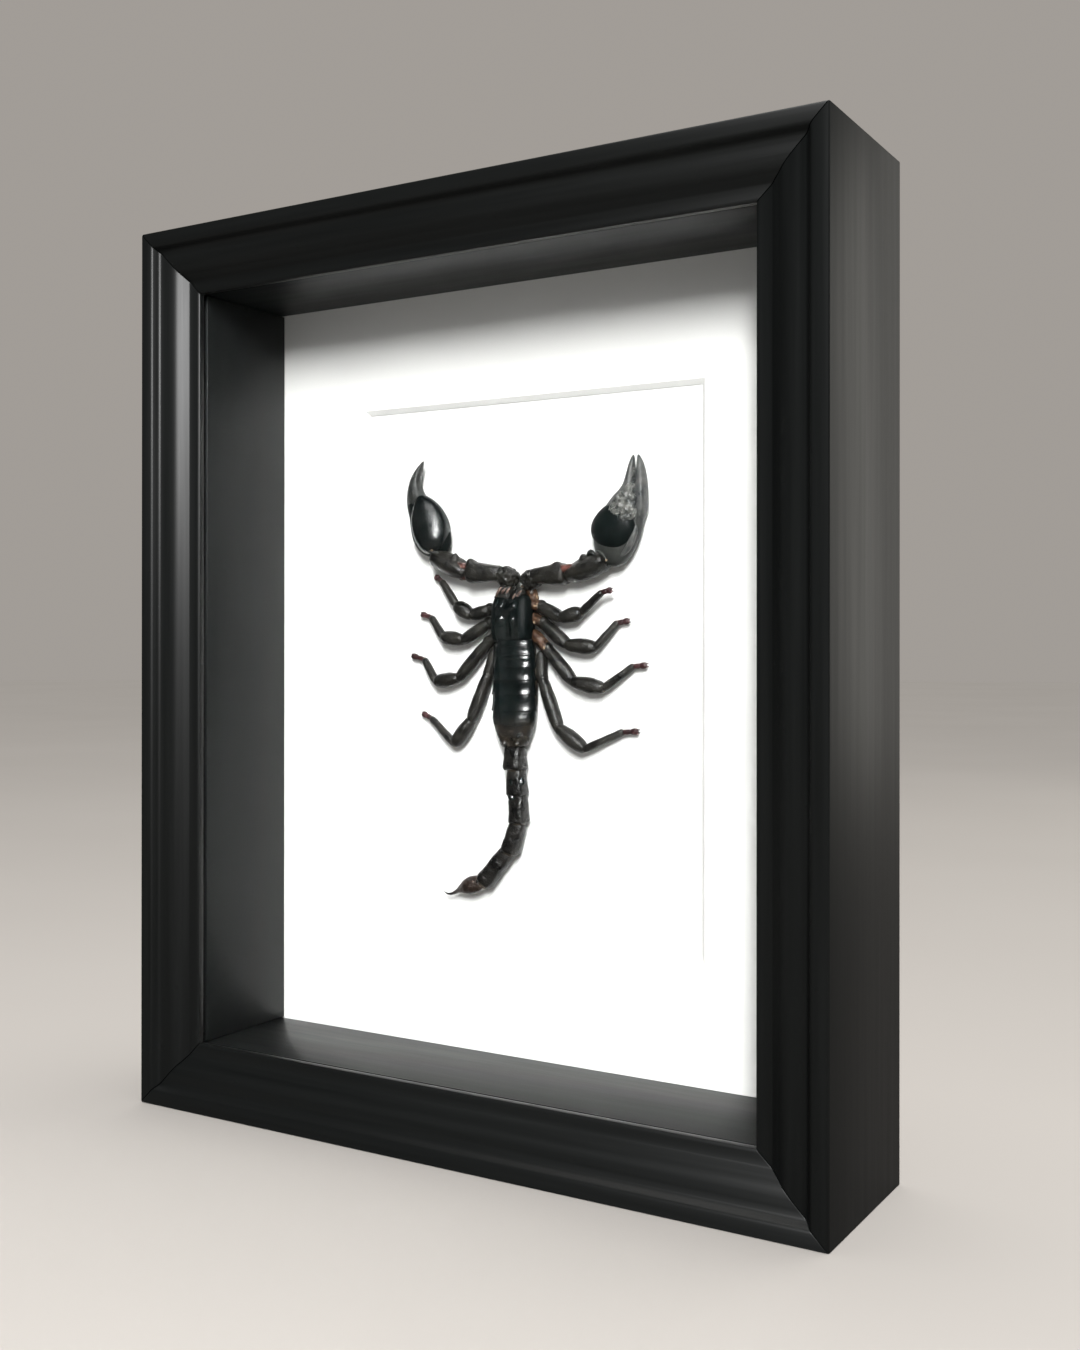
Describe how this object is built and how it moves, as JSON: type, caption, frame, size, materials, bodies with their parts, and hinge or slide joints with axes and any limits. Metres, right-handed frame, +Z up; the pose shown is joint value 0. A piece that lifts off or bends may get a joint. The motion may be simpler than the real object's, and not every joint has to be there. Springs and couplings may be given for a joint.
{
  "type": "framed scorpion specimen",
  "caption": "Dried black scorpion spread on a white card behind a window mat and glass, in a deep black wooden box frame that stands or hangs.",
  "frame": {"origin": "middle of the bottom edge of the whole object's box, on the surface that it stands on", "axes": "+X to the viewer's right, +Z up towards the pincers, -Y out of the glass towards the viewer"},
  "size_m": [0.232, 0.0602, 0.283],
  "materials": {
    "black_wood": "satin black stain",
    "glass": "clear",
    "white_board": "matte paper board",
    "backing": "smooth hardboard",
    "steel": "zinc plated",
    "glossy_cuticle": "glossy, finely granular",
    "dull_cuticle": "satin, granular"
  },
  "bodies": {
    "root": {"frame_rail_left": "black_wood", "frame_rail_top": "black_wood", "frame_rail_right": "black_wood", "frame_rail_bottom": "black_wood", "spacer_left": "black_wood", "spacer_right": "black_wood", "spacer_bottom": "black_wood", "spacer_top": "black_wood", "glass_pane": "glass", "mat_board": "white_board", "specimen_card": "white_board", "backing_board": "backing", "flex_point_left_1": "steel", "flex_point_left_2": "steel", "flex_point_right_1": "steel", "flex_point_right_2": "steel", "flex_point_bottom_1": "steel", "flex_point_bottom_2": "steel", "flex_point_top_1": "steel", "flex_point_top_2": "steel", "sawtooth_hanger": "steel", "hanger_nail_1": "steel", "hanger_nail_2": "steel", "carapace": "glossy_cuticle", "mesosoma": "glossy_cuticle", "pedipalp_left_hand": "glossy_cuticle", "pedipalp_right_hand": "glossy_cuticle", "tail_segment_1": "dull_cuticle", "tail_segment_2": "dull_cuticle", "tail_segment_3": "dull_cuticle", "tail_segment_4": "dull_cuticle", "tail_segment_5": "dull_cuticle", "telson": "dull_cuticle", "chelicera_left": "dull_cuticle", "chelicera_right": "dull_cuticle", "pedipalp_left_coxa": "dull_cuticle", "pedipalp_left_trochanter": "dull_cuticle", "pedipalp_left_femur": "dull_cuticle", "pedipalp_left_patella": "dull_cuticle", "pedipalp_left_movable_finger": "dull_cuticle", "pedipalp_right_coxa": "dull_cuticle", "pedipalp_right_trochanter": "dull_cuticle", "pedipalp_right_femur": "dull_cuticle", "pedipalp_right_patella": "dull_cuticle", "pedipalp_right_movable_finger": "dull_cuticle", "leg_left_1": "dull_cuticle", "leg_left_2": "dull_cuticle", "leg_left_3": "dull_cuticle", "leg_left_4": "dull_cuticle", "leg_right_1": "dull_cuticle", "leg_right_2": "dull_cuticle", "leg_right_3": "dull_cuticle", "leg_right_4": "dull_cuticle"}
  },
  "joints": []
}
